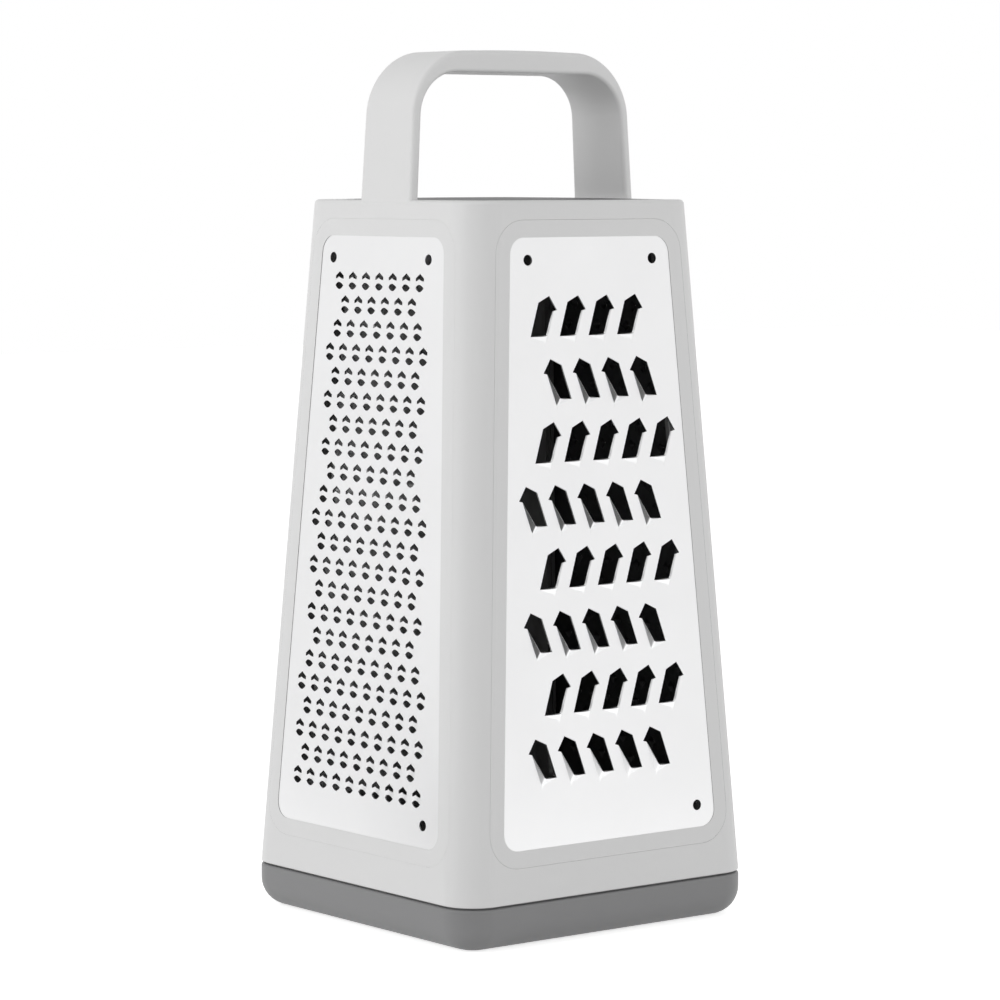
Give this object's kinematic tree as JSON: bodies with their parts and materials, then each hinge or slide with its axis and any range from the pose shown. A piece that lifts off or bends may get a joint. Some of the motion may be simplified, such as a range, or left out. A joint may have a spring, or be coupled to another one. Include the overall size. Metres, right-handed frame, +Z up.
{
  "type": "box grater",
  "caption": "Four-sided box grater: tapered white plastic frame with an arch handle, steel grating plates set in bezels, and a grey tray that it lifts off.",
  "frame": {"origin": "middle of the tray's underside, on the surface that the grater stands on", "axes": "+Z up the grater towards its handle, -Y out of the coarse plate, -X out of the fine plate; the handle spans X"},
  "size_m": [0.1034, 0.1034, 0.2445],
  "materials": {
    "white_plastic": "fine satin moulded surface",
    "grey_plastic": "fine satin moulded surface",
    "plate_steel": "pale satin sheet with pressed and cut teeth"
  },
  "bodies": {
    "tray": {"base_tray": "grey_plastic"},
    "grater": {"frame": "white_plastic", "front_bezel": "white_plastic", "right_bezel": "white_plastic", "back_bezel": "white_plastic", "left_bezel": "white_plastic", "coarse_plate": "plate_steel", "rasp_plate": "plate_steel", "slicer_plate": "plate_steel", "fine_plate": "plate_steel", "top_cover": "grey_plastic"}
  },
  "joints": [
    {"name": "lift_off", "type": "slide", "parent": "tray", "child": "grater", "axis": [0, 0, 1], "range_m": [0, 0.06]}
  ]
}
